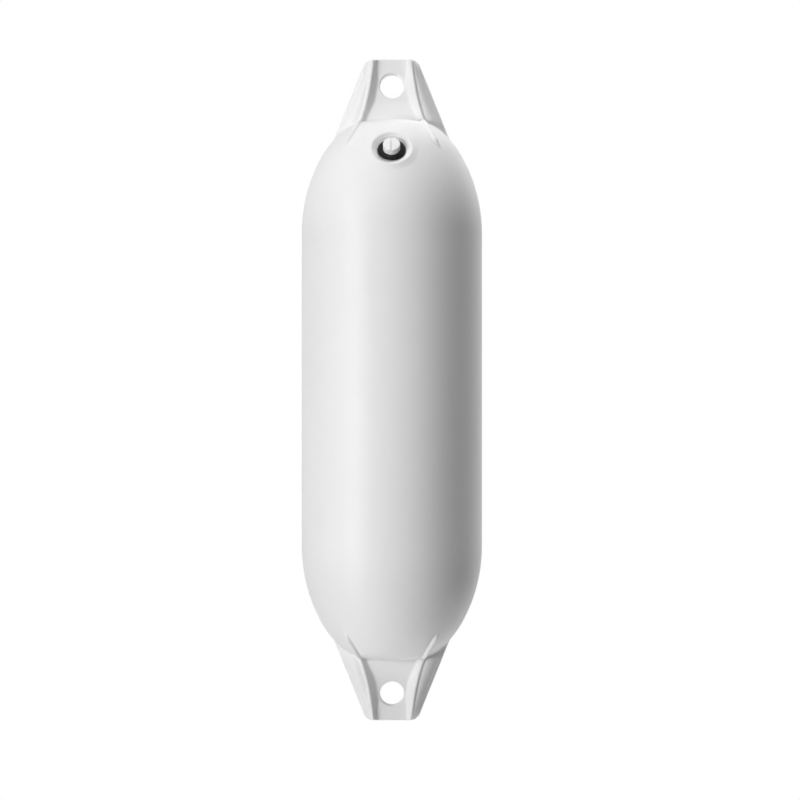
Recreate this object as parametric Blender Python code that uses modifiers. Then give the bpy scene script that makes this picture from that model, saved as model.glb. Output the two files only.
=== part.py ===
# Cylindrical boat fender: a moulded vinyl body with a rope eye at each end
# and an inflation valve on its upper shoulder.
# Metres. +Z runs along the length, the origin is the centre, the valve faces -Y.

import math

import bmesh
import bpy
from mathutils import Matrix

# Inflated body, a cylinder that closes at each end through a wide and then a tighter arc
BODY_RADIUS = 0.075
STRAIGHT_LENGTH = 0.260
SHOULDER_RADIUS = 0.130
SHOULDER_TURN = math.radians(30)
WALL = 0.003
END_WALL = 0.008

# Solid eye end, a flat tapered plate whose two wings rise to a rib on each side of the rope hole
EYE_REACH = 0.04675
TIP_HALF_WIDTH = 0.0215
TIP_CORNER = 0.009
PLATE_TAPER = math.radians(22)
PLATE_HALF_THICKNESS = 0.005
PLATE_ROUND = 0.0035
PLATE_ROOT = 0.034
ROPE_HOLE_RADIUS = 0.010
ROPE_HOLE_ROUND = 0.002
ROPE_HOLE_FROM_TIP = 0.0225
RIB_HALF_THICKNESS = 0.011
RIB_TIP_SETBACK = 0.0004
RIB_TIP_OFFSET = 0.0153
RIB_BEND_OFFSET = 0.0185
RIB_BEND_FROM_TIP = 0.037
RIB_FOOT_OFFSET = 0.036
RIB_FOOT_FROM_TIP = 0.072
RIB_CREST_HALF_WIDTH = 0.0011
RIB_INNER_SLOPE_TIP = 0.0036
RIB_INNER_SLOPE_FOOT = 0.0075
RIB_LEAST_OUTER_SLOPE = 0.0008
RIB_SINK = 0.001
RIB_PROUD = 0.0014
RIB_FADE = 0.2
RIB_FOOT_SINK = 0.0008
RIB_BLEND_POWER = 4

# Valve, along its own axis outwards from the shoulder's surface
VALVE_PLACE = math.radians(29)
VALVE_TILT = math.radians(33)
BOSS_RADIUS = 0.0180
BOSS_HEIGHT = 0.0008
BOSS_ROUND = 0.0007
BOSS_SKIRT = 0.003
BOSS_ROOT = 0.005
MOUTH_RADIUS = 0.0166
DISH_DEPTH = 0.0025
POCKET_RADIUS = 0.0117
POCKET_DEPTH = 0.0021
SLEEVE_WALL = 0.002
SLEEVE_END_WALL = 0.002
INSERT_FLANGE_RADIUS = 0.0095
INSERT_FLANGE_THICKNESS = 0.0025
INSERT_RADIUS = 0.0075
INSERT_LENGTH = 0.014
SHANK_RADIUS = 0.0048
SHANK_LENGTH = 0.013
SEAL_WIDTH = 0.0060
SEAL_THICKNESS = 0.0025
SEAL_ROUND = 0.0011
HEAD_RADIUS = 0.0069
HEAD_HEIGHT = 0.0050
HEAD_DOME = 0.0004
HEAD_ROUND = 0.0006
SLOT_WIDTH = 0.0015
SLOT_DEPTH = 0.0018
SLOT_OVERRUN = 0.001
FIT_GAP = 0.0003
CUT_BEYOND = 0.0003
ROUND_LIMIT = 0.8          # greatest share of a half thickness that its rounding takes up

# Facets of the turned shapes
BODY_STEPS = 64
HOLLOW_STEPS = 32
HOLE_STEPS = 24
VALVE_STEPS = 32
BOSS_STEPS = 48
CROWN_SEGMENTS = 8
SHOULDER_SEGMENTS = 6
ROUND_SEGMENTS = 3
TIP_CORNER_SEGMENTS = 5
RIB_STATIONS = 12

HALF_STRAIGHT = STRAIGHT_LENGTH / 2
CROWN_RADIUS = SHOULDER_RADIUS + (BODY_RADIUS - SHOULDER_RADIUS) / math.cos(SHOULDER_TURN)
CROWN_CENTRE = HALF_STRAIGHT + (SHOULDER_RADIUS - CROWN_RADIUS) * math.sin(SHOULDER_TURN)
CROWN_TOP = CROWN_CENTRE + CROWN_RADIUS
TIP_HEIGHT = CROWN_TOP + EYE_REACH
ROPE_HOLE_HEIGHT = TIP_HEIGHT - ROPE_HOLE_FROM_TIP
FLOOR = BOSS_HEIGHT - DISH_DEPTH - POCKET_DEPTH

COLOURS = {
    "fender_body": ((0.86, 0.86, 0.85), 0.28),
    "valve_insert": ((0.80, 0.80, 0.78), 0.40),
    "valve_seal": ((0.03, 0.03, 0.03), 0.55),
    "valve_plug": ((0.84, 0.84, 0.83), 0.35),
}


def clear_scene():
    for item in list(bpy.data.objects):
        bpy.data.objects.remove(item, do_unlink=True)


def new_collection(name):
    collection = bpy.data.collections.new(name)
    bpy.context.scene.collection.children.link(collection)
    return collection


def material(name):
    colour, roughness = COLOURS[name]
    made = bpy.data.materials.new(name)
    made.use_nodes = True
    shader = made.node_tree.nodes["Principled BSDF"]
    shader.inputs["Base Color"].default_value = (*colour, 1.0)
    shader.inputs["Roughness"].default_value = roughness
    shader.inputs["Metallic"].default_value = 0.0
    return made


def add_object(name, mesh, collection):
    item = bpy.data.objects.new(name, mesh)
    collection.objects.link(item)
    if collection is cutters:
        item.hide_render = True
        item.display_type = "WIRE"
    return item


def turned(name, profile, steps, collection, closed=False):
    """Profile of (radius, height) points, down the outer side, turned about local Z."""
    mesh = bpy.data.meshes.new(name)
    points = [(radius, 0.0, height) for radius, height in profile]
    edges = [(i, i + 1) for i in range(len(points) - 1)]
    if closed:
        edges.append((len(points) - 1, 0))
    mesh.from_pydata(points, edges, [])
    item = add_object(name, mesh, collection)
    screw = item.modifiers.new("Turn", "SCREW")
    screw.axis = "Z"
    screw.angle = math.tau
    screw.steps = steps
    screw.render_steps = steps
    screw.use_merge_vertices = True
    screw.merge_threshold = 0.00001
    screw.use_smooth_shade = True
    return item


def boolean(item, other, operation):
    cut = item.modifiers.new(other.name, "BOOLEAN")
    cut.operation = operation
    cut.solver = "EXACT"
    cut.object = other


def arc(centre, radius, start, end, segments):
    points = []
    for step in range(segments + 1):
        angle = start + (end - start) * step / segments
        points.append((centre[0] + radius * math.cos(angle), centre[1] + radius * math.sin(angle)))
    return points


def half_profile(inset, drop):
    """Upper half of the body's outline, from the crown down, inset by a wall and lowered by drop."""
    crown = arc((0, CROWN_CENTRE - drop), CROWN_RADIUS - inset, math.pi / 2, SHOULDER_TURN, CROWN_SEGMENTS)
    crown[0] = (0.0, crown[0][1])
    centre = (BODY_RADIUS - SHOULDER_RADIUS, HALF_STRAIGHT - drop)
    shoulder = arc(centre, SHOULDER_RADIUS - inset, SHOULDER_TURN, 0, SHOULDER_SEGMENTS)
    return crown + shoulder[1:]


def full_profile(inset=0.0, drop=0.0):
    upper = half_profile(inset, drop)
    return upper + [(radius, -height) for radius, height in reversed(upper)]


def surface_point(turn):
    """Radius and height of the body's surface where it has turned in by the given angle."""
    if turn < SHOULDER_TURN:
        radius = BODY_RADIUS - SHOULDER_RADIUS + SHOULDER_RADIUS * math.cos(turn)
        return radius, HALF_STRAIGHT + SHOULDER_RADIUS * math.sin(turn)
    return CROWN_RADIUS * math.cos(turn), CROWN_CENTRE + CROWN_RADIUS * math.sin(turn)


def crown_depth(x, height):
    """How far the crown reaches out of the XZ plane at a place, or 0 beside it."""
    inside = CROWN_RADIUS ** 2 - (height - CROWN_CENTRE) ** 2 - x ** 2
    return math.sqrt(max(inside, 0.0))


def tip_corner_centre():
    turn = math.pi / 2 - PLATE_TAPER
    return TIP_HALF_WIDTH - TIP_CORNER * math.tan(turn / 2), TIP_HEIGHT - TIP_CORNER


def plate_half_width(height):
    """Half width of the tapered plate at a height, its round tip corner included."""
    corner_x, corner_z = tip_corner_centre()
    if height > corner_z + TIP_CORNER * math.sin(PLATE_TAPER):
        return corner_x + math.sqrt(max(TIP_CORNER ** 2 - (height - corner_z) ** 2, 0.0))
    return TIP_HALF_WIDTH + (TIP_HEIGHT - height) * math.tan(PLATE_TAPER)


def eye_plate():
    """Flat tapered plate in the XZ plane, its root buried in the crown."""
    root_height = CROWN_TOP - PLATE_ROOT
    corner = arc(tip_corner_centre(), TIP_CORNER, PLATE_TAPER, math.pi / 2, TIP_CORNER_SEGMENTS)
    side = [(plate_half_width(root_height), root_height)] + corner
    outline = side + [(-x, height) for x, height in reversed(side)]
    curve = bpy.data.curves.new("eye_plate_outline", "CURVE")
    curve.dimensions = "2D"
    curve.fill_mode = "BOTH"
    curve.extrude = PLATE_HALF_THICKNESS
    spline = curve.splines.new("POLY")
    spline.points.add(len(outline) - 1)
    for point, (x, height) in zip(spline.points, outline):
        point.co = (x, height, 0.0, 1.0)
    spline.use_cyclic_u = True
    drawn = add_object("eye_plate_outline", curve, cutters)
    drawn.rotation_euler = (math.pi / 2, 0, 0)
    bpy.context.view_layer.update()
    evaluated = drawn.evaluated_get(bpy.context.evaluated_depsgraph_get())
    mesh = bpy.data.meshes.new_from_object(evaluated)
    mesh.transform(drawn.matrix_world)
    bpy.data.objects.remove(drawn)
    plate = add_object("eye_plate", mesh, cutters)
    bm = bmesh.new()
    bm.from_mesh(mesh)
    bmesh.ops.remove_doubles(bm, verts=bm.verts, dist=0.00001)
    bmesh.ops.recalc_face_normals(bm, faces=bm.faces)
    bm.to_mesh(mesh)
    bm.free()
    bevel = plate.modifiers.new("Round edge", "BEVEL")
    bevel.width = min(PLATE_ROUND, PLATE_HALF_THICKNESS * ROUND_LIMIT)
    bevel.segments = ROUND_SEGMENTS
    bevel.limit_method = "ANGLE"
    bevel.angle_limit = math.radians(50)
    return plate


def rib_station(share):
    """Offset from the middle, height and depth of the crest, at a share of the way from tip to foot."""
    start, bend, end = (1 - share) ** 2, 2 * share * (1 - share), share ** 2
    offset = start * RIB_TIP_OFFSET + bend * RIB_BEND_OFFSET + end * RIB_FOOT_OFFSET
    below = start * RIB_TIP_SETBACK + bend * RIB_BEND_FROM_TIP + end * RIB_FOOT_FROM_TIP
    height = TIP_HEIGHT - below
    fade = min(1.0, (1.0 - share) / RIB_FADE)
    on_crown = crown_depth(offset, height) + RIB_PROUD * fade - RIB_FOOT_SINK * (1.0 - fade)
    power = RIB_BLEND_POWER
    crest = (RIB_HALF_THICKNESS ** power + max(on_crown, 0.0) ** power) ** (1 / power)
    return offset, height, crest


def eye_ribs():
    """Wings that rise from the plate's outer edges to a rib on each side, lofted along the ribs' crests."""
    bm = bmesh.new()
    foot = PLATE_HALF_THICKNESS - RIB_SINK
    loops = []
    for station in range(RIB_STATIONS + 1):
        share = station / RIB_STATIONS
        offset, height, crest = rib_station(share)
        inner = offset - RIB_CREST_HALF_WIDTH
        outer = offset + RIB_CREST_HALF_WIDTH
        inner_slope = RIB_INNER_SLOPE_TIP + (RIB_INNER_SLOPE_FOOT - RIB_INNER_SLOPE_TIP) * share
        edge = max(plate_half_width(height) - PLATE_ROUND, outer + RIB_LEAST_OUTER_SLOPE)
        half = [(inner - inner_slope, foot), (inner, crest), (outer, crest), (edge, foot)]
        section = half + [(x, -y) for x, y in reversed(half)]
        verts = [bm.verts.new((x, y, height)) for x, y in section]
        loops.append([bm.edges.new((verts[i], verts[i - 1])) for i in range(len(verts))])
    for above, below in zip(loops, loops[1:]):
        bmesh.ops.bridge_loops(bm, edges=above + below)
    bmesh.ops.contextual_create(bm, geom=loops[0])
    bmesh.ops.contextual_create(bm, geom=loops[-1])
    bmesh.ops.recalc_face_normals(bm, faces=bm.faces)
    mesh = bpy.data.meshes.new("eye_ribs")
    bm.to_mesh(mesh)
    bm.free()
    ribs = add_object("eye_ribs", mesh, cutters)
    bevel = ribs.modifiers.new("Round crest", "BEVEL")
    bevel.width = RIB_CREST_HALF_WIDTH * ROUND_LIMIT
    bevel.segments = 2
    bevel.limit_method = "ANGLE"
    bevel.angle_limit = math.radians(40)
    mirror = ribs.modifiers.new("Other side", "MIRROR")
    mirror.use_axis = (True, False, False)
    mirror.merge_threshold = 0.00001
    return ribs


def at_other_end(item):
    """The same shape turned half round about Y, for the lower end."""
    copy = item.copy()
    copy.name = item.name + "_lower"
    copy.rotation_euler.rotate_axis("Y", math.pi)
    cutters.objects.link(copy)
    return copy


def rope_hole():
    """Cutter for one rope hole, flared where it meets the faces of the plate."""
    round_off = min(ROPE_HOLE_ROUND, PLATE_HALF_THICKNESS * ROUND_LIMIT)
    centre = (ROPE_HOLE_RADIUS + round_off, PLATE_HALF_THICKNESS - round_off + CUT_BEYOND)
    flare = arc(centre, round_off, math.pi / 2, math.pi, ROUND_SEGMENTS + 1)
    beyond = RIB_HALF_THICKNESS + WALL
    upper = [(0.0, beyond), (ROPE_HOLE_RADIUS + round_off, beyond)] + flare
    profile = upper + [(radius, -y) for radius, y in reversed(upper)]
    hole = turned("rope_hole", profile, HOLE_STEPS, cutters)
    hole.rotation_euler = (math.pi / 2, 0, 0)
    return hole


def on_valve_axis(item):
    """Places a shape whose local Z is the valve's axis, with its zero at the shoulder's surface."""
    radius, height = surface_point(VALVE_PLACE)
    item.location = (0, -radius, height)
    item.rotation_euler = (math.pi / 2 - VALVE_TILT, 0, 0)
    return item


def valve_boss():
    """Low ring of material around the valve, standing proud of the shoulder."""
    edge = arc((BOSS_RADIUS - BOSS_ROUND, BOSS_HEIGHT - BOSS_ROUND), BOSS_ROUND,
               math.pi / 2, 0, ROUND_SEGMENTS)
    skirt = (BOSS_RADIUS + BOSS_SKIRT, -BOSS_ROOT)
    profile = [(0.0, BOSS_HEIGHT)] + edge + [skirt, (0.0, -BOSS_ROOT)]
    return on_valve_axis(turned("valve_boss", profile, BOSS_STEPS, cutters))


def valve_sleeve():
    """Thickened socket inside the wall that holds the insert."""
    radius = POCKET_RADIUS + SLEEVE_WALL
    top = -WALL / 2
    bottom = FLOOR - INSERT_LENGTH - SLEEVE_END_WALL
    profile = [(0.0, top), (radius, top), (radius, bottom), (0.0, bottom)]
    return on_valve_axis(turned("valve_sleeve", profile, VALVE_STEPS, cutters))


def valve_recess():
    """Cutter for the flared dish, the pocket for the seal, and the insert's seat and bore below them."""
    seat = INSERT_FLANGE_RADIUS + FIT_GAP
    seat_floor = FLOOR - INSERT_FLANGE_THICKNESS - FIT_GAP
    bore = INSERT_RADIUS + FIT_GAP
    below = FLOOR - INSERT_LENGTH - SLEEVE_END_WALL - WALL
    flare = (MOUTH_RADIUS - POCKET_RADIUS) / DISH_DEPTH
    profile = [
        (0.0, BOSS_HEIGHT + CUT_BEYOND),
        (MOUTH_RADIUS + CUT_BEYOND * flare, BOSS_HEIGHT + CUT_BEYOND),
        (POCKET_RADIUS, BOSS_HEIGHT - DISH_DEPTH),
        (POCKET_RADIUS, FLOOR),
        (seat, FLOOR),
        (seat, seat_floor),
        (bore, seat_floor),
        (bore, below),
        (0.0, below),
    ]
    return on_valve_axis(turned("valve_recess", profile, VALVE_STEPS, cutters))


def fender_body():
    body = turned("fender_body", full_profile(), BODY_STEPS, parts)
    plate = eye_plate()
    ribs = eye_ribs()
    for shape in (plate, ribs, at_other_end(plate), at_other_end(ribs)):
        boolean(body, shape, "UNION")
    upper_hole = rope_hole()
    upper_hole.location = (0, 0, ROPE_HOLE_HEIGHT)
    lower_hole = upper_hole.copy()
    lower_hole.name = "rope_hole_lower"
    lower_hole.location = (0, 0, -ROPE_HOLE_HEIGHT)
    cutters.objects.link(lower_hole)
    boolean(body, upper_hole, "DIFFERENCE")
    boolean(body, lower_hole, "DIFFERENCE")
    boolean(body, valve_boss(), "UNION")
    hollow = turned("hollow", full_profile(WALL, END_WALL - WALL), HOLLOW_STEPS, cutters)
    boolean(body, hollow, "DIFFERENCE")
    boolean(body, valve_sleeve(), "UNION")
    boolean(body, valve_recess(), "DIFFERENCE")
    body.data.materials.append(material("fender_body"))
    return body


def valve_insert():
    """Flanged bush moulded into the socket, with the bore that the plug screws into."""
    bore = SHANK_RADIUS + FIT_GAP
    under = FLOOR - INSERT_FLANGE_THICKNESS
    bottom = FLOOR - INSERT_LENGTH
    profile = [
        (bore, FLOOR),
        (INSERT_FLANGE_RADIUS, FLOOR),
        (INSERT_FLANGE_RADIUS, under),
        (INSERT_RADIUS, under),
        (INSERT_RADIUS, bottom),
        (bore, bottom),
    ]
    insert = on_valve_axis(turned("valve_insert", profile, VALVE_STEPS, parts, closed=True))
    insert.data.materials.append(material("valve_insert"))
    return insert


def valve_seal():
    """Flat rubber ring that the plug's head presses onto the insert."""
    bottom = FLOOR + FIT_GAP
    top = bottom + SEAL_THICKNESS
    inner = SHANK_RADIUS + FIT_GAP
    outer = min(inner + SEAL_WIDTH, POCKET_RADIUS - FIT_GAP)
    round_off = min(SEAL_ROUND, SEAL_THICKNESS / 2 * ROUND_LIMIT)
    edge = arc((outer - round_off, top - round_off), round_off, math.pi / 2, 0, ROUND_SEGMENTS)
    profile = [(inner, top)] + edge + [(outer, bottom), (inner, bottom)]
    seal = on_valve_axis(turned("valve_seal", profile, VALVE_STEPS, parts, closed=True))
    seal.data.materials.append(material("valve_seal"))
    return seal


def valve_plug():
    """Screw plug with a low domed head and a driver slot across it."""
    under = FLOOR + 2 * FIT_GAP + SEAL_THICKNESS
    shoulder = under + HEAD_HEIGHT
    round_off = min(HEAD_ROUND, HEAD_HEIGHT / 2 * ROUND_LIMIT)
    edge = arc((HEAD_RADIUS - round_off, shoulder - round_off), round_off, math.pi / 2, 0, ROUND_SEGMENTS)
    halfway = 1 / 2
    dome = [
        (0.0, shoulder + HEAD_DOME),
        ((HEAD_RADIUS - round_off) * halfway, shoulder + HEAD_DOME * (1 - halfway ** 2)),
    ]
    profile = dome + edge + [
        (HEAD_RADIUS, under),
        (SHANK_RADIUS, under),
        (SHANK_RADIUS, under - SHANK_LENGTH),
        (0.0, under - SHANK_LENGTH),
    ]
    plug = on_valve_axis(turned("valve_plug", profile, VALVE_STEPS, parts))
    bpy.ops.mesh.primitive_cube_add(size=1)
    slot = bpy.context.object
    slot.name = "driver_slot"
    for collection in list(slot.users_collection):
        collection.objects.unlink(slot)
    cutters.objects.link(slot)
    slot.hide_render = True
    slot.display_type = "WIRE"
    face = shoulder + HEAD_DOME
    size = (SLOT_WIDTH, 2 * (HEAD_RADIUS + SLOT_OVERRUN), SLOT_DEPTH + SLOT_OVERRUN)
    middle = (0, 0, face + (SLOT_OVERRUN - SLOT_DEPTH) / 2)
    slot.data.transform(Matrix.Translation(middle) @ Matrix.Diagonal((*size, 1.0)))
    on_valve_axis(slot)
    boolean(plug, slot, "DIFFERENCE")
    plug.data.materials.append(material("valve_plug"))
    return plug


clear_scene()
parts = new_collection("boat_fender")
cutters = new_collection("cutters")
fender_body()
valve_insert()
valve_seal()
valve_plug()
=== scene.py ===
import math
import bmesh
import bpy
import numpy as np
from mathutils import Matrix, Vector


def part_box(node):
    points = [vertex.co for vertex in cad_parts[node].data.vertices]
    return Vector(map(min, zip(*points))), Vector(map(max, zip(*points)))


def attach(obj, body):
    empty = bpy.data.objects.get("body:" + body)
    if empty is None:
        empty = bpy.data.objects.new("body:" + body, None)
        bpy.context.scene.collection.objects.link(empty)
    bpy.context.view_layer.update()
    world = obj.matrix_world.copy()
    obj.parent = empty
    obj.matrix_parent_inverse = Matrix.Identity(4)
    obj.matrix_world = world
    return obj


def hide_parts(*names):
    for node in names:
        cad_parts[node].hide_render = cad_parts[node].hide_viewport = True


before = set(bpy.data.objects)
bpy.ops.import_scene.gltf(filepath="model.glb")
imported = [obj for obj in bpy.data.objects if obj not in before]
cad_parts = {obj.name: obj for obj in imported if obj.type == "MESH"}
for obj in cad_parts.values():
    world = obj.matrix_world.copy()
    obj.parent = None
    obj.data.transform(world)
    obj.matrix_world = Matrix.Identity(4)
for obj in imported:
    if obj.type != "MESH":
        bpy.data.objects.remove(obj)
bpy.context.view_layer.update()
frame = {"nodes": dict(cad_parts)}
print("frame loaded:", ", ".join(frame["nodes"]))

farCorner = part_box("fender_body")[1]
radius = farCorner[0]             # of the inflated body
tip = farCorner[2]                # half the length, to the end of an eye

# Body, eye ends and hollow, all one moulding. Metres.
moulding = {
    "straightHalf": 0.130,        # half the cylindrical stretch
    "shoulderRadius": 0.130,
    "shoulderTurn": math.radians(30),
    "flatTop": 0.0039,            # crown flattened this far below the full dome
    "flatBlend": 0.008,
    "wall": 0.003,
    "endWall": 0.008,
    "ringPoints": 38,             # points on an eighth of a ring
    "crowding": 1.45,             # gathers the points towards the ribs
    "sectionSamples": 260,        # taken along a quarter ring before its points are spaced out
    "tipRings": (0.0, 0.00003, 0.00010, 0.00022, 0.00040, 0.00062, 0.0009, 0.0013, 0.0018, 0.0024),
    "finestRing": 0.00012,        # between rings, at the crown's rim
    "rimBelowFlat": 0.0008,
    "ringGrowth": 0.11,           # wider by this much of the way from the rim
    "eyeRing": 0.0011,            # widest, beside the ribs
    "shoulderRing": 0.0036,       # widest, below their feet
    "pastRibs": 0.004,
    "straightRings": 8,
    "plainBelow": 0.030,          # above the cylindrical stretch, up to which no eye is felt
    "sharpFrom": math.radians(55),
    "hollowSteps": 64,
    "shoulderSteps": 12,          # of the hollow's own outline
    "crownSteps": 16,
}
eye = {
    "tipHalfWidth": 0.0211,
    "tipCorner": 0.009,
    "taper": math.radians(22),
    "webHalf": 0.005,             # half thickness beside the rope hole
    "edgeHalf": 0.0052,           # half thickness at the wings' outer edges
    "edgeRound": 0.0035,
    "tipRound": 0.0009,
    "ribHalf": 0.011,
    "ribDrop": 0.0014,            # from the rib down to the wing beside it
    "wingPower": 2.4,             # 1 is a flat wing, more bows it outwards
    "ribCrest": 0.0016,           # width of the flat crest, outwards from the rib's line
    "ribOuter": 0.0012,           # width of its outer wall
    # Crest line as a cubic curve: offset from the middle, way from the tip.
    "ribLine": ((0.0147, 0.0), (0.0175, 0.026), (0.0214, 0.052), (0.0386, 0.078)),
    "ribSteps": 60,
    "innerSlope": (0.0023, 0.0059),  # width of the inner wall at the tip, and further down
    "slopeRun": 0.024,            # from the tip, over which it widens
    "leastWing": 0.004,
    "ribSoft": 0.0010,            # where the rib's two walls meet
    "crestSoft": 0.0007,
    "webSoft": 0.0011,
    "rampTop": 0.034,             # from the tip, where the web starts to thicken
    "rampLength": 0.0135,
    "rampRise": 0.0019,
    "tipDraft": 0.2,              # the ribs' ends lean back this much
    "draftStart": 0.002,          # out from the middle plane
    "holeFromTip": 0.0225,
    "holeRadius": 0.010,
    "holeRound": 0.0015,
    "holeEase": 0.00025,          # the round starts this much proud of the web
    "holeArc": (180, 95),
    "arcSteps": 8,
    "holeNeck": (-0.0002, 0.0016),  # past the round, out from the hole and up from the web
    "holeSteps": 72,
    "holeEnd": 0.016,             # half length of the cutter, past the ribs
    "filletWeb": 0.0026,
    "filletWing": 0.0018,
    "filletRun": 0.006,
    "ridgeRadius": 0.0024,
    "ridgeProud": 0.0024,
    "ridgeFillet": 0.0012,
    "ridgeFade": 0.005,
    "ridgeStart": 0.002,          # inside the rib's face
}

straightHalf = moulding["straightHalf"]
shoulderRadius = moulding["shoulderRadius"]
shoulderTurn = moulding["shoulderTurn"]
crownRadius = shoulderRadius + (radius - shoulderRadius) / math.cos(shoulderTurn)
crownCentre = straightHalf + (shoulderRadius - crownRadius) * math.sin(shoulderTurn)
flatHeight = crownCentre + crownRadius - moulding["flatTop"]
farOut = radius * 1.2             # outside everything at its level
nearZero = 0.00001
halvings = 34                     # when a surface is looked for


def smoothMin(a, b, k):
    h = np.maximum(k - np.abs(a - b), 0.0) / k
    return np.minimum(a, b) - h * h * k / 4


def smoothMax(a, b, k):
    return -smoothMin(-a, -b, k)


def smoothStep(low, high, x):
    t = np.clip((x - low) / (high - low), 0.0, 1.0)
    return t * t * (3 - 2 * t)


def bodyDistance(x, y, z):        # to the turned body, negative inside it
    across = np.hypot(x, y)
    up = z - straightHalf
    out = across - (radius - shoulderRadius)
    side = across - radius
    shoulder = np.hypot(out, up) - shoulderRadius
    crown = np.hypot(across, z - crownCentre) - crownRadius
    crown = smoothMax(crown, z - flatHeight, moulding["flatBlend"])
    past = up > math.tan(shoulderTurn) * out
    return np.where(up < 0, side, np.where(past, crown, shoulder))


def ribPath():                    # crest line in the XZ plane, from the tip down
    t = np.linspace(0, 1, eye["ribSteps"])[:, None]
    p = np.array(eye["ribLine"])
    path = (1 - t) ** 3 * p[0]
    path = path + 3 * t * (1 - t) ** 2 * p[1]
    path = path + 3 * t * t * (1 - t) * p[2]
    path = path + t ** 3 * p[3]
    return path[:, 0], tip - path[:, 1]


ribX, ribZ = ribPath()
ribEndX, ribEndZ = ribX[-1], ribZ[-1]


def crestOffset(z):
    return np.interp(z, ribZ[::-1], ribX[::-1])


def eyeThickness(x, z):           # half thickness before its outline is rounded off
    crest = crestOffset(z)
    share = smoothStep(0.0, 1.0, (tip - z) / eye["slopeRun"])
    slope = eye["innerSlope"][0] + (eye["innerSlope"][1] - eye["innerSlope"][0]) * share
    below = (tip - z - eye["rampTop"]) / eye["rampLength"]
    fromCrest = x - crest
    between = 1 - smoothStep(0.0, eye["ribCrest"] + eye["ribOuter"], fromCrest)
    web = eye["webHalf"] + eye["rampRise"] * smoothStep(0.0, 1.0, below) * between
    inner = eye["ribHalf"] + fromCrest * (eye["ribHalf"] - eye["webHalf"]) / slope
    wingTop = eye["ribHalf"] - eye["ribDrop"]
    outerStart = crest + eye["ribCrest"] + eye["ribOuter"]
    edge = eye["tipHalfWidth"] + (tip - z) * math.tan(eye["taper"])
    wingRun = np.maximum(edge - eye["edgeRound"] - outerStart, eye["leastWing"])
    across = np.maximum(x - outerStart, 0.0) / wingRun
    wing = wingTop - (wingTop - eye["edgeHalf"]) * across ** eye["wingPower"]
    outer = eye["ribHalf"] - (fromCrest - eye["ribCrest"]) * eye["ribDrop"] / eye["ribOuter"]
    rib = smoothMin(smoothMin(inner, outer, eye["ribSoft"]), eye["ribHalf"], eye["crestSoft"])
    wingSide = np.where(fromCrest > 0, wing, -1.0)
    return smoothMax(smoothMax(rib, wingSide, eye["crestSoft"]), web, eye["webSoft"])


def outlineDepth(x, z):           # how far inside the eye's outline a point of the XZ plane lies
    corner = eye["tipCorner"]
    taper = eye["taper"]
    cx = eye["tipHalfWidth"] - corner * math.tan((math.pi / 2 - taper) / 2)
    cz = tip - corner
    side = (eye["tipHalfWidth"] + (tip - z) * math.tan(taper) - x) * math.cos(taper)
    top = tip - z
    inCorner = (x > cx) & (math.cos(taper) * (z - cz) > math.sin(taper) * (x - cx))
    return np.where(inCorner, corner - np.hypot(x - cx, z - cz), np.minimum(side, top))


def edgeRounding(x, z):           # full on the sides, small along the tip
    corner = eye["tipCorner"]
    cx = eye["tipHalfWidth"] - corner * math.tan((math.pi / 2 - eye["taper"]) / 2)
    angle = np.arctan2(z - tip + corner, np.maximum(x - cx, nearZero))
    share = smoothStep(eye["taper"], math.pi / 2, angle)
    return eye["edgeRound"] + (eye["tipRound"] - eye["edgeRound"]) * share


def eyeDistance(x, y, z):         # to an eye end, its outline rounded off
    step = 0.0003                 # over which the face's slope is taken
    thick = eyeThickness(x, z)
    gradX = (eyeThickness(x + step, z) - thick) / step
    gradZ = (eyeThickness(x, z - step) - thick) / step
    over = (y - thick) / np.sqrt(1 + gradX ** 2 + gradZ ** 2)
    beside = -outlineDepth(x, z + eye["tipDraft"] * np.maximum(y - eye["draftStart"], 0.0))
    r = edgeRounding(x, z)
    a = np.maximum(over + r, 0.0)
    b = np.maximum(beside + r, 0.0)
    return np.hypot(a, b) + np.minimum(np.maximum(over + r, beside + r), 0.0) - r


def reach(distance, limit, count):  # outermost zero of a distance, by halving
    near = np.zeros(count)
    far = np.full(count, limit)
    for _ in range(halvings):
        middle = (near + far) / 2
        inside = distance(middle) < 0
        near = np.where(inside, middle, near)
        far = np.where(inside, far, middle)
    return (near + far) / 2


def ridgePoints():                # the rib's run over the shoulder, sinking in at its foot
    points = []
    for x, z in zip(ribX, ribZ):
        y = reach(lambda y: bodyDistance(x, y, z), radius, 1)[0]
        if y < eye["ribHalf"] - eye["ridgeStart"]:
            continue
        out = Vector((x, y, z - crownCentre)).normalized()
        sink = eye["ridgeRadius"] - eye["ridgeProud"]
        fade = max(0.0, 1 - (z - ribEndZ) / eye["ridgeFade"])
        points.append(Vector((x, y, z)) - out * (sink + fade * eye["ridgeProud"]))
    return points


ridge = ridgePoints()


def ridgeDistance(x, y, z):       # to a round bar along every second point
    nearest = np.full(np.broadcast(x, y, z).shape, 1.0)
    for a, b in zip(ridge[::2], ridge[2::2]):
        d = b - a
        t = ((x - a.x) * d.x + (y - a.y) * d.y + (z - a.z) * d.z) / d.length_squared
        t = np.clip(t, 0.0, 1.0)
        offset = (x - a.x - t * d.x, y - a.y - t * d.y, z - a.z - t * d.z)
        gap = np.sqrt(offset[0] ** 2 + offset[1] ** 2 + offset[2] ** 2)
        nearest = np.minimum(nearest, gap)
    return nearest - eye["ridgeRadius"]


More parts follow.
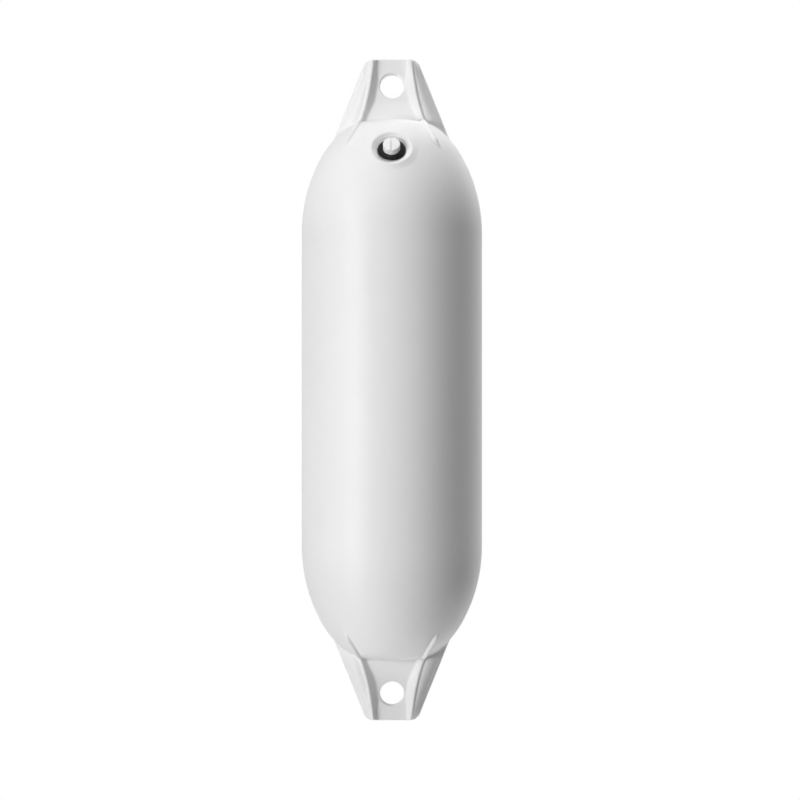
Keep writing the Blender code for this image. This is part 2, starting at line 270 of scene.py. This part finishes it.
def skinDistance(x, y, z):        # body, eye end and ridges, run together
    if z < straightHalf + moulding["plainBelow"]:
        return bodyDistance(x, y, z)
    crest = crestOffset(z)
    share = smoothStep(crest - eye["filletRun"], crest, x)
    fillet = eye["filletWeb"] + (eye["filletWing"] - eye["filletWeb"]) * share
    joined = smoothMin(bodyDistance(x, y, z), eyeDistance(x, y, z), fillet)
    return smoothMin(joined, ridgeDistance(x, y, z), eye["ridgeFillet"])


def quarterSection(z):            # from the middle of the front to the side, spaced along the curve
    width = reach(lambda x: skinDistance(x, np.zeros(1), z), farOut, 1)[0]
    x = width * np.sin(np.linspace(0, math.pi / 2, moulding["sectionSamples"]))
    y = reach(lambda y: skinDistance(x, y, z), farOut, len(x))
    y[-1] = 0.0
    along = np.concatenate(([0.0], np.cumsum(np.hypot(np.diff(x), np.diff(y)))))
    if z > ribEndZ:
        anchorX = crestOffset(z)
    else:
        anchorX = width * anchorShare
    anchor = np.interp(anchorX, x, along)
    n = moulding["ringPoints"]
    away = np.linspace(0, 1, n + 1) ** moulding["crowding"]
    places = np.concatenate((anchor * (1 - away[::-1]), anchor + (along[-1] - anchor) * away[1:]))
    return np.interp(places, along, x), np.interp(places, along, y)


def ringHeights():                # from the tip down to the middle, closest at the crown's rim
    heights = [tip - below for below in moulding["tipRings"]]
    z = heights[-1]
    while z > straightHalf:
        fromRim = abs(z - flatHeight + moulding["rimBelowFlat"])
        fine = moulding["finestRing"] + moulding["ringGrowth"] * fromRim
        coarse = moulding["eyeRing"] if z > ribEndZ - moulding["pastRibs"] else moulding["shoulderRing"]
        z -= min(fine, coarse)
        heights.append(z)
    heights[-1] = straightHalf
    count = moulding["straightRings"]
    heights += [straightHalf * (1 - i / count) for i in range(1, count + 1)]
    return heights


footWidth = reach(lambda x: skinDistance(x, np.zeros(1), ribEndZ), farOut, 1)[0]
anchorShare = ribEndX / footWidth


def fullRing(xs, ys, z):          # a quarter's points carried round all four
    outline = [(x, -y) for x, y in zip(xs, ys)]
    outline += [(x, y) for x, y in zip(xs[-2::-1], ys[-2::-1])]
    outline += [(-x, y) for x, y in zip(xs[1:], ys[1:])]
    outline += [(-x, -y) for x, y in zip(xs[-2:0:-1], ys[-2:0:-1])]
    return [(x, y, z) for x, y in outline]


def skinLoops():                  # from the upper tip to the lower
    heights = ringHeights()
    upper = [(*quarterSection(z), z) for z in heights]
    lower = [(xs, ys, -z) for xs, ys, z in reversed(upper[:-1])]
    return [fullRing(*level) for level in upper + lower]


mergeGap = 0.000001


def finishMesh(bm, name):
    bmesh.ops.remove_doubles(bm, verts=bm.verts, dist=mergeGap)
    bmesh.ops.recalc_face_normals(bm, faces=bm.faces)
    mesh = bpy.data.meshes.new(name)
    bm.to_mesh(mesh)
    bm.free()
    mesh.shade_smooth()
    return mesh


def addObject(name, mesh):
    item = bpy.data.objects.new(name, mesh)
    bpy.context.scene.collection.objects.link(item)
    return item


seamShare = 0.4                   # of a step: keeps turned edges off the body's middle plane


def loftObject(name, loops):      # a ring extruded from each level to the next, closed at both ends
    bm = bmesh.new()
    verts = bmesh.ops.create_circle(bm, segments=len(loops[0]), radius=radius)["verts"]
    edges = list(bm.edges)
    firstEdges = edges
    for vert, point in zip(verts, loops[0]):
        vert.co = point
    for points in loops[1:]:
        made = bmesh.ops.extrude_edge_only(bm, edges=edges)["geom"]
        fresh = {item for item in made if isinstance(item, bmesh.types.BMVert)}
        following = []
        for vert, point in zip(verts, points):
            across = [edge.other_vert(vert) for edge in vert.link_edges]
            twin = next(other for other in across if other in fresh)
            twin.co = point
            following.append(twin)
        edges = [item for item in made if isinstance(item, bmesh.types.BMEdge)]
        edges = [edge for edge in edges if fresh.issuperset(edge.verts)]
        verts = following
    for end in (firstEdges, edges):
        bmesh.ops.contextual_create(bm, geom=end)
    return addObject(name, finishMesh(bm, name))


def turnedObject(name, profile, steps, placing, closed=False):  # open profiles start and end on the axis
    bm = bmesh.new()
    verts = [bm.verts.new((ring, 0, height)) for ring, height in profile]
    edges = [bm.edges.new(pair) for pair in zip(verts, verts[1:])]
    if closed:
        edges.append(bm.edges.new((verts[-1], verts[0])))
    bmesh.ops.spin(bm, geom=verts + edges, cent=(0, 0, 0), axis=(0, 0, 1), angle=math.tau, steps=steps,
                   use_merge=True)
    turn = Matrix.Rotation(math.tau * seamShare / steps, 4, "Z")
    bmesh.ops.transform(bm, matrix=placing @ turn, verts=bm.verts)
    return addObject(name, finishMesh(bm, name))


def arcPoints(centre, size, start, end, steps):
    points = []
    for i in range(steps + 1):
        angle = math.radians(start + (end - start) * i / steps)
        points.append((centre[0] + size * math.cos(angle), centre[1] + size * math.sin(angle)))
    return points


def joinShapes(item, work):       # boolean steps in order, then one plain mesh
    for operation, other in work:
        step = item.modifiers.new(other.name, "BOOLEAN")
        step.operation = operation
        step.solver = "EXACT"
        step.object = other
    bpy.context.view_layer.update()
    ready = item.evaluated_get(bpy.context.evaluated_depsgraph_get())
    mesh = bpy.data.meshes.new_from_object(ready)
    item.modifiers.clear()
    item.data = mesh
    for _, other in work:
        bpy.data.objects.remove(other)
    return item


# Valve in the upper shoulder. Heights run out along its axis from the shoulder's surface.
valve = {
    "place": math.radians(29.8),  # up the shoulder's arc
    "tilt": math.radians(36),     # its axis above level
    "steps": 112,
    "rim": 0.0163,                # mouth of the dish
    "rimHeight": -0.0009,
    "rimFollow": 0.45,            # 0 flat, 1 along the body's surface
    "lip": 0.0006,                # radius of its rounding
    "lipFlat": 0.0002,
    "lipSteps": 6,
    "skirt": 0.0225,
    "skirtSteps": 14,
    "skirtPower": 2.4,            # how soon the skirt lies down on the body
    "skirtSink": 0.00006,
    "sinkFrom": 0.7,              # share of the skirt after which it dips under the skin
    "dishFoot": 0.0120,
    "crease": -0.0044,
    "pocket": 0.0117,
    # Undercut at the foot of the dish: out from the pocket, up from the crease.
    "undercut": ((0.0, -0.0003), (0.0001, -0.00012), (0.0004, 0.0001)),
    "floor": -0.0050,
    "seat": 0.0098,
    "seatDepth": 0.0028,
    "bore": 0.0078,
    "boreSteps": 96,
    "boreOver": 0.0005,           # above the floor
    "boreEnd": 0.003,             # past the sleeve's end
    # Under the skin: out from the skirt, down from the surface.
    "root": ((0.001, 0.0004), (0.001, 0.0020)),
    "sleeve": 0.0137,
    "sleeveTop": 0.0024,          # below the surface
    "sleeveEnd": -0.0198,
    "cut": 0.0190,                # radius of skin taken out before the valve's ring goes in
    "cutHalf": 0.012,
    "cutSteps": 64,
    "highest": 0.006,             # between which the surface is looked for
    "lowest": -0.020,
}
valveOut = radius - shoulderRadius + shoulderRadius * math.cos(valve["place"])
valveHeight = straightHalf + shoulderRadius * math.sin(valve["place"])
valveFrame = Matrix.Translation((0, -valveOut, valveHeight))
valveFrame = valveFrame @ Matrix.Rotation(math.pi / 2 - valve["tilt"], 4, "X")


def shoulderHeight(ring, angle):  # of the body's surface along the valve's axis
    low = valve["lowest"]
    high = valve["highest"]
    for _ in range(halvings):
        middle = (low + high) / 2
        point = valveFrame @ Vector((ring * math.cos(angle), ring * math.sin(angle), middle))
        if bodyDistance(point.x, point.y, point.z) < 0:
            low = middle
        else:
            high = middle
    return low


def rimHeight(angle):             # between a flat rim and the body's own surface
    flat = valve["rimHeight"]
    return flat + valve["rimFollow"] * (shoulderHeight(valve["rim"], angle) - flat)


def valveSection(angle):          # from the bore out over dish, lip and skirt, then back inside
    rim = valve["rim"]
    top = rimHeight(angle)
    crease = valve["crease"]
    slope = math.atan2(top - crease, rim - valve["dishFoot"])
    back = valve["lip"] * math.tan(slope / 2)
    lipCentre = (rim + back, top - valve["lip"])
    lip = arcPoints(lipCentre, valve["lip"], 90, 90 + math.degrees(slope), valve["lipSteps"])
    points = [(valve["bore"] / 2, valve["floor"]), (valve["pocket"], valve["floor"])]
    points += [(valve["pocket"] + out, crease + up) for out, up in valve["undercut"]]
    points += lip[::-1]
    outer = lipCentre[0] + valve["lipFlat"]
    for i in range(valve["skirtSteps"] + 1):
        share = i / valve["skirtSteps"]
        ring = outer + (valve["skirt"] - outer) * share
        blend = 1 - (1 - share) ** valve["skirtPower"]
        sink = valve["skirtSink"] * max(0.0, share - valve["sinkFrom"]) / (1 - valve["sinkFrom"])
        points.append((ring, top + (shoulderHeight(ring, angle) - top) * blend - sink))
    for out, down in valve["root"]:
        ring = valve["skirt"] + out
        points.append((ring, shoulderHeight(ring, angle) - down))
    ring = valve["sleeve"]
    points += [(ring, shoulderHeight(ring, angle) - valve["sleeveTop"]), (ring, valve["sleeveEnd"])]
    return points


def valveLoops():
    angles = [math.tau * (i + seamShare) / valve["steps"] for i in range(valve["steps"])]
    sections = [valveSection(a) for a in angles]
    loops = []
    for level in zip(*sections):
        points = []
        for angle, (ring, height) in zip(angles, level):
            points.append(Vector((ring * math.cos(angle), ring * math.sin(angle), height)))
        loops.append([valveFrame @ point for point in points])
    return loops


def boreProfile():                # seat and bore for the bush
    over = valve["floor"] + valve["boreOver"]
    ledge = valve["floor"] - valve["seatDepth"]
    end = valve["sleeveEnd"] - valve["boreEnd"]
    return [(0, over), (valve["seat"], over), (valve["seat"], ledge), (valve["bore"], ledge),
            (valve["bore"], end), (0, end)]


def hollowProfile():              # inner surface of the wall, from the bottom pole up
    inset = moulding["wall"]
    drop = moulding["endWall"] + moulding["flatTop"] - inset
    turn = math.degrees(shoulderTurn)
    centre = (radius - shoulderRadius, straightHalf)
    upper = arcPoints(centre, shoulderRadius - inset, 0, turn, moulding["shoulderSteps"])
    crown = arcPoints((0, crownCentre), crownRadius - inset, turn, 90, moulding["crownSteps"])
    for i, (ring, height) in enumerate(crown[1:]):
        share = (i + 1) / moulding["crownSteps"]
        upper.append((max(ring, 0), height - drop * share * share * (3 - 2 * share)))
    return [(ring, -height) for ring, height in reversed(upper)] + upper


def holeProfile():                # rope hole, rounded out at both faces of the web
    size = eye["holeRound"]
    centre = (eye["holeRadius"] + size, eye["webHalf"] - size + eye["holeEase"])
    flare = arcPoints(centre, size, *eye["holeArc"], eye["arcSteps"])
    beyond = eye["holeRadius"] + eye["holeNeck"][0]
    half = flare + [(beyond, eye["webHalf"] + eye["holeNeck"][1])]
    half += [(beyond, eye["holeEnd"]), (0, eye["holeEnd"])]
    return [(ring, -height) for ring, height in reversed(half)] + half


fenderSkin = loftObject("fenderSkin", skinLoops())
cutHalf = valve["cutHalf"]
cutProfile = [(0, -cutHalf), (valve["cut"], -cutHalf), (valve["cut"], cutHalf), (0, cutHalf)]
valveRing = loftObject("valveRing", valveLoops())
valveBore = turnedObject("valveBore", boreProfile(), valve["boreSteps"], valveFrame)
joinShapes(valveRing, [("DIFFERENCE", valveBore)])
work = [
    ("DIFFERENCE", turnedObject("hollow", hollowProfile(), moulding["hollowSteps"], Matrix())),
    ("DIFFERENCE", turnedObject("valveCut", cutProfile, valve["cutSteps"], valveFrame)),
    ("UNION", valveRing),
]
for end in (1, -1):
    holePlace = Matrix.Translation((0, 0, end * (tip - eye["holeFromTip"])))
    holePlace = holePlace @ Matrix.Rotation(math.pi / 2, 4, "X")
    work.append(("DIFFERENCE", turnedObject("ropeHole", holeProfile(), eye["holeSteps"], holePlace)))
joinShapes(fenderSkin, work)
fenderSkin.data.set_sharp_from_angle(angle=moulding["sharpFrom"])
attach(fenderSkin, "root")
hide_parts("fender_body")
print("fender skin:", len(fenderSkin.data.polygons), "faces")

# Screw plug with a driver slot.
plug = {
    "seat": -0.0027,
    "head": 0.0069,
    "headHeight": 0.0059,
    "dome": 0.0004,
    "round": 0.0007,
    "shank": 0.0048,
    "shankLength": 0.013,
    "threadDepth": 0.0006,
    "threadPitch": 0.0015,
    "slotFoot": 0.0005,           # width at the bottom of its V
    "slotMouth": 0.0026,
    "slotDepth": 0.0021,
    "slotOver": 0.002,            # the cutter reaches this far past the head
    "domeSteps": 9,
    "roundSteps": 8,
    "footChamfer": 0.0002,
    "neck": 0.0010,               # plain shank above the thread
    "tipChamfer": 0.0008,
    "steps": 96,
    "sharpFrom": math.radians(40),
}


def plugProfile():
    seat = plug["seat"]
    shoulder = seat + plug["headHeight"]
    corner = (plug["head"] - plug["round"], shoulder - plug["round"])
    profile = [(0, shoulder + plug["dome"])]
    for i in range(1, plug["domeSteps"]):
        share = i / plug["domeSteps"]
        profile.append((corner[0] * share, shoulder + plug["dome"] * (1 - share * share)))
    profile += arcPoints(corner, plug["round"], 90, 0, plug["roundSteps"])
    profile += [(plug["head"], seat + plug["footChamfer"]), (plug["head"] - plug["footChamfer"], seat)]
    profile.append((plug["shank"], seat))
    height = seat - plug["neck"]
    while height > seat - plug["shankLength"] + plug["threadPitch"]:
        profile.append((plug["shank"], height))
        profile.append((plug["shank"] - plug["threadDepth"], height - plug["threadPitch"] / 2))
        height -= plug["threadPitch"]
    profile.append((plug["shank"], height))
    profile.append((plug["shank"] - plug["tipChamfer"], seat - plug["shankLength"]))
    profile.append((0, seat - plug["shankLength"]))
    return profile


def slotObject():                 # V groove right across the head
    face = plug["seat"] + plug["headHeight"] + plug["dome"]
    foot = plug["slotFoot"] / 2
    mouth = plug["slotMouth"] / 2
    over = plug["slotOver"]
    wide = mouth + over * (mouth - foot) / plug["slotDepth"]
    bottom = face - plug["slotDepth"]
    outline = [(-foot, bottom), (-wide, face + over), (wide, face + over), (foot, bottom)]
    reachOut = plug["head"] + over
    loops = []
    for along in (-reachOut, reachOut):
        loops.append([valveFrame @ Vector((x, along, height)) for x, height in outline])
    return loftObject("slot", loops)


plugPiece = turnedObject("plugPiece", plugProfile(), plug["steps"], valveFrame)
joinShapes(plugPiece, [("DIFFERENCE", slotObject())])
plugPiece.data.set_sharp_from_angle(angle=plug["sharpFrom"])
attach(plugPiece, "root")
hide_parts("valve_plug")
print("plug:", len(plugPiece.data.polygons), "faces")

# Rubber seal under the plug's head.
seal = {
    "inner": 0.0051,
    "outer": 0.0114,
    "bottom": -0.0048,
    "top": -0.0027,
    "power": 2.1,                 # 2 is an ellipse, more is squarer
    "around": 36,
    "steps": 112,
}
sealMiddle = ((seal["inner"] + seal["outer"]) / 2, (seal["bottom"] + seal["top"]) / 2)
sealHalf = ((seal["outer"] - seal["inner"]) / 2, (seal["top"] - seal["bottom"]) / 2)
sealProfile = []
for i in range(seal["around"]):
    angle = math.tau * (i + 0.5) / seal["around"]
    across = math.copysign(abs(math.cos(angle)) ** (2 / seal["power"]), math.cos(angle))
    upward = math.copysign(abs(math.sin(angle)) ** (2 / seal["power"]), math.sin(angle))
    sealProfile.append((sealMiddle[0] + sealHalf[0] * across, sealMiddle[1] + sealHalf[1] * upward))
sealPiece = turnedObject("sealPiece", sealProfile, seal["steps"], valveFrame, closed=True)
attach(sealPiece, "root")
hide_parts("valve_seal")
print("seal:", len(sealPiece.data.polygons), "faces")

# Threaded bush behind the seal.
bush = {
    "bore": 0.0051,
    "flange": 0.0095,
    "flangeThickness": 0.0025,
    "body": 0.0075,
    "top": -0.0050,
    "length": 0.014,
    "chamfer": 0.0004,
    "steps": 96,
    "sharpFrom": math.radians(30),
}
top = bush["top"]
chamfer = bush["chamfer"]
bushProfile = [
    (bush["bore"], top - chamfer),
    (bush["bore"] + chamfer, top),
    (bush["flange"] - chamfer, top),
    (bush["flange"], top - chamfer),
    (bush["flange"], top - bush["flangeThickness"]),
    (bush["body"], top - bush["flangeThickness"]),
    (bush["body"], top - bush["length"] + chamfer),
    (bush["body"] - chamfer, top - bush["length"]),
    (bush["bore"], top - bush["length"]),
]
bushPiece = turnedObject("bushPiece", bushProfile, bush["steps"], valveFrame, closed=True)
bushPiece.data.set_sharp_from_angle(angle=bush["sharpFrom"])
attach(bushPiece, "root")
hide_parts("valve_insert")
print("bush:", len(bushPiece.data.polygons), "faces")


class Field:                      # one shader value, so that sums can be written plainly
    def __init__(self, tree, socket):
        self.tree = tree
        self.socket = socket

    def math(self, operation, *others):
        node = self.tree.nodes.new("ShaderNodeMath")
        node.operation = operation
        for place, value in zip(node.inputs, (self, *others)):
            joinSocket(self.tree, value, place)
        return Field(self.tree, node.outputs["Value"])

    def __add__(self, other):
        return self.math("ADD", other)

    def __radd__(self, other):
        return self.math("ADD", other)

    def __sub__(self, other):
        return self.math("SUBTRACT", other)

    def __rsub__(self, other):
        return self.math("MULTIPLY", -1).math("ADD", other)

    def __mul__(self, other):
        return self.math("MULTIPLY", other)

    def __rmul__(self, other):
        return self.math("MULTIPLY", other)

    def between(self, low, high):  # 0 below low, 1 above high
        spread = (self - low) * (1 / (high - low))
        return spread.math("MAXIMUM", 0).math("MINIMUM", 1)


def joinSocket(tree, value, socket):
    if isinstance(value, Field):
        tree.links.new(value.socket, socket)
    else:
        socket.default_value = value


def addNode(tree, kind, settings, inputs, output):
    made = tree.nodes.new("ShaderNode" + kind)
    for key, value in settings.items():
        setattr(made, key, value)
    for key, value in inputs.items():
        joinSocket(tree, value, made.inputs[key])
    return Field(tree, made.outputs[output])


class Surface:                    # one material, with what its finish is built from
    def __init__(self, name):
        self.material = bpy.data.materials.new(name)
        self.material.use_nodes = True
        self.tree = self.material.node_tree
        self.shader = self.tree.nodes["Principled BSDF"]
        self.place = self.node("TexCoord", {}, {}, "Object")

    def node(self, kind, settings, inputs, output):
        return addNode(self.tree, kind, settings, inputs, output)

    def noise(self, scale, detail, roughness=0.5):
        inputs = {"Vector": self.place, "Scale": scale, "Detail": detail, "Roughness": roughness}
        return self.node("TexNoise", {}, inputs, "Fac")

    def blend(self, share, first, second):  # a Mix node's colour sockets are 6 and 7, and 2 comes out
        inputs = {0: share, 6: (*first, 1), 7: (*second, 1)}
        return self.node("Mix", {"data_type": "RGBA"}, inputs, 2)

    def bump(self, height, strength, distance):
        inputs = {"Height": height, "Strength": strength, "Distance": distance}
        return self.node("Bump", {}, inputs, "Normal")

    def finish(self, **values):
        for key, value in values.items():
            joinSocket(self.tree, value, self.shader.inputs[key.replace("_", " ")])
        return self.material


# Finishes, by material slot: colours at the two ends of their variation, roughness from and to,
# noises as scale, detail and roughness, and the bump's strength and depth.
finishes = {
    "white_vinyl": {
        "light": (0.885, 0.885, 0.885),
        "dark": (0.862, 0.862, 0.862),
        "rough": (0.30, 0.38),
        "cloud": (9, 4),
        "smear": (55, 3, 0.6),
        "grain": (1400, 2),
        "ripple": (38, 1),
        "cloudShare": 0.7,        # of the tone, beside the smear
        "tones": (0.35, 0.65),
        "smearShare": 0.6,        # of the roughness, beside the grain
        "roughEnds": (0.3, 0.7),
        "grainShare": 0.35,       # of the bump, beside the ripple
        "bump": (0.22, 0.0005),
        "ior": 1.5,
        "specular": 0.42,
    },
    "plug_plastic": {
        "light": (0.90, 0.90, 0.90),
        "dark": (0.88, 0.88, 0.88),
        "rough": (0.34, 0.42),
    },
    "valve_plastic": {
        "light": (0.80, 0.80, 0.79),
        "dark": (0.75, 0.75, 0.74),
        "rough": (0.40, 0.50),
    },
    "black_rubber": {
        "light": (0.010, 0.010, 0.010),
        "dark": (0.005, 0.005, 0.005),
        "rough": (0.24, 0.34),
        "dust": (260, 4, 0.65),
        "grain": (4200, 3),
        "tones": (0.4, 0.75),
        "bump": (0.25, 0.0001),
        "ior": 1.52,
    },
}
mouldedPlastic = {                # what the plug's and the bush's plastic share
    "cloud": (120, 3),
    "grain": (3200, 2),
    "tones": (0.35, 0.65),
    "bump": (0.15, 0.0001),
    "ior": 1.49,
}


def variedRough(ends, share):
    return ends[0] + share * (ends[1] - ends[0])


def vinylFinish(name):            # soft, slightly uneven skin with a fine grain
    look = finishes[name]
    surface = Surface(name)
    cloud = surface.noise(*look["cloud"])
    smear = surface.noise(*look["smear"])
    grain = surface.noise(*look["grain"])
    ripple = surface.noise(*look["ripple"])
    tone = cloud * look["cloudShare"] + smear * (1 - look["cloudShare"])
    worn = smear * look["smearShare"] + grain * (1 - look["smearShare"])
    height = grain * look["grainShare"] + ripple * (1 - look["grainShare"])
    return surface.finish(
        Base_Color=surface.blend(tone.between(*look["tones"]), look["dark"], look["light"]),
        Roughness=variedRough(look["rough"], worn.between(*look["roughEnds"])),
        IOR=look["ior"],
        Specular_IOR_Level=look["specular"],
        Normal=surface.bump(height, *look["bump"]),
    )


def plasticFinish(name):
    look = finishes[name] | mouldedPlastic
    surface = Surface(name)
    cloud = surface.noise(*look["cloud"])
    grain = surface.noise(*look["grain"])
    return surface.finish(
        Base_Color=surface.blend(cloud.between(*look["tones"]), look["dark"], look["light"]),
        Roughness=variedRough(look["rough"], grain),
        IOR=look["ior"],
        Normal=surface.bump(grain, *look["bump"]),
    )


def rubberFinish(name):           # a little dust lightens it and dulls it
    look = finishes[name]
    surface = Surface(name)
    dust = surface.noise(*look["dust"])
    grain = surface.noise(*look["grain"])
    return surface.finish(
        Base_Color=surface.blend(dust.between(*look["tones"]), look["dark"], look["light"]),
        Roughness=variedRough(look["rough"], dust),
        IOR=look["ior"],
        Normal=surface.bump(grain, *look["bump"]),
    )


for piece, material in (
    (fenderSkin, vinylFinish("white_vinyl")),
    (plugPiece, plasticFinish("plug_plastic")),
    (bushPiece, plasticFinish("valve_plastic")),
    (sealPiece, rubberFinish("black_rubber")),
):
    piece.data.materials.clear()
    piece.data.materials.append(material)
print("finishes:", len(finishes))

# Camera level with the middle of the fender, as the photograph was taken. Metres, and millimetres for
# the lens and sensor.
view = {
    "distance": 1.5,
    "right": 0.00675,
    "up": -0.0085,
    "lens": 81,
    "sensor": 36,
}
camera = bpy.data.cameras.new("camera")
camera.lens = view["lens"]
camera.sensor_width = view["sensor"]
cameraObject = bpy.data.objects.new("camera", camera)
cameraObject.location = (view["right"], -view["distance"], view["up"])
cameraObject.rotation_euler = (math.pi / 2, 0, 0)
bpy.context.scene.collection.objects.link(cameraObject)
bpy.context.scene.camera = cameraObject

# Softboxes all round: azimuth to the right and elevation, in degrees, and share of full light.
softboxes = {
    "top": (-20, 80, 0.27),
    "topFront": (-10, 55, 0.25),
    "front": (-36, 0, 0.49),
    "left": (-50, 0, 0.17),
    "below": (0, -50, 0.05),
    "belowLeft": (-50, -40, 0.11),
    "belowRight": (125, -35, 0.32),
    "rimRight": (128, 54, 0.59),
    "backRight": (150, 25, 0.12),
    "backLeft": (-145, 5, 0.40),
}
sheen = (-50, 0, 0.25)            # tall strip, seen only as a reflection
lampDistance = 2.2
boxSize = (0.8, 0.8)
sheenSize = (0.40, 2.6)


def softbox(name, azimuth, elevation, share, size):
    around = math.radians(azimuth)
    up = math.radians(elevation)
    lamp = bpy.data.lights.new(name, "AREA")
    lamp.shape = "RECTANGLE"
    lamp.size, lamp.size_y = size
    lamp.energy = share * (math.pi * lampDistance) ** 2
    item = bpy.data.objects.new(name, lamp)
    towards = Vector((math.sin(around) * math.cos(up), -math.cos(around) * math.cos(up), math.sin(up)))
    item.location = towards * lampDistance
    item.rotation_euler = towards.to_track_quat("Z", "Y").to_euler()
    bpy.context.scene.collection.objects.link(item)
    return item


for name, values in softboxes.items():
    softbox(name, *values, boxSize).visible_glossy = False
softbox("sheen", *sheen, sheenSize).visible_diffuse = False
print("lamps:", len(softboxes) + 1)

# White room: white to the camera, greyer in reflections, dim as a light.
room = {
    "light": 0.03,
    "nearSide": 0.17,             # reflected from behind the camera
    "farSide": 0.66,              # and from behind the fender
    "turnover": 0.6,              # either way of the side, how far the change between them runs
}
world = bpy.data.worlds.new("room")
bpy.context.scene.world = world
world.use_nodes = True
worldTree = world.node_tree
seen = addNode(worldTree, "LightPath", {}, {}, "Is Camera Ray")
seen = seen.math("MAXIMUM", addNode(worldTree, "LightPath", {}, {}, "Is Transmission Ray"))
mirrored = addNode(worldTree, "LightPath", {}, {}, "Is Glossy Ray")
direction = addNode(worldTree, "TexCoord", {}, {}, "Generated")
backwards = addNode(worldTree, "SeparateXYZ", {}, {"Vector": direction}, "Y")
behind = backwards.between(-room["turnover"], room["turnover"])
reflected = mirrored * (behind * (room["farSide"] - room["nearSide"]) + room["nearSide"])
strength = seen.math("MAXIMUM", reflected).math("MAXIMUM", room["light"])
background = worldTree.nodes["Background"]
background.inputs["Color"].default_value = (1, 1, 1, 1)
joinSocket(worldTree, strength, background.inputs["Strength"])

# Pale floor, out of the picture below the fender.
floorDisc = {
    "drop": 0.17,
    "radius": 0.26,
    "segments": 96,
    "noise": (6, 3),
    "dark": (0.84, 0.84, 0.84),
    "light": (0.87, 0.87, 0.87),
    "rough": 0.8,
}
floorBuild = bmesh.new()
bmesh.ops.create_circle(floorBuild, cap_ends=True, segments=floorDisc["segments"],
                        radius=floorDisc["radius"])
bmesh.ops.translate(floorBuild, vec=(0, 0, -tip - floorDisc["drop"]), verts=floorBuild.verts)
floor = addObject("floor", finishMesh(floorBuild, "floor"))
floorSurface = Surface("paleFloor")
floorTone = floorSurface.noise(*floorDisc["noise"])
floor.data.materials.append(floorSurface.finish(
    Base_Color=floorSurface.blend(floorTone, floorDisc["dark"], floorDisc["light"]),
    Roughness=floorDisc["rough"],
))
bpy.context.scene.view_settings.view_transform = "Standard"
print("room and floor: ready")
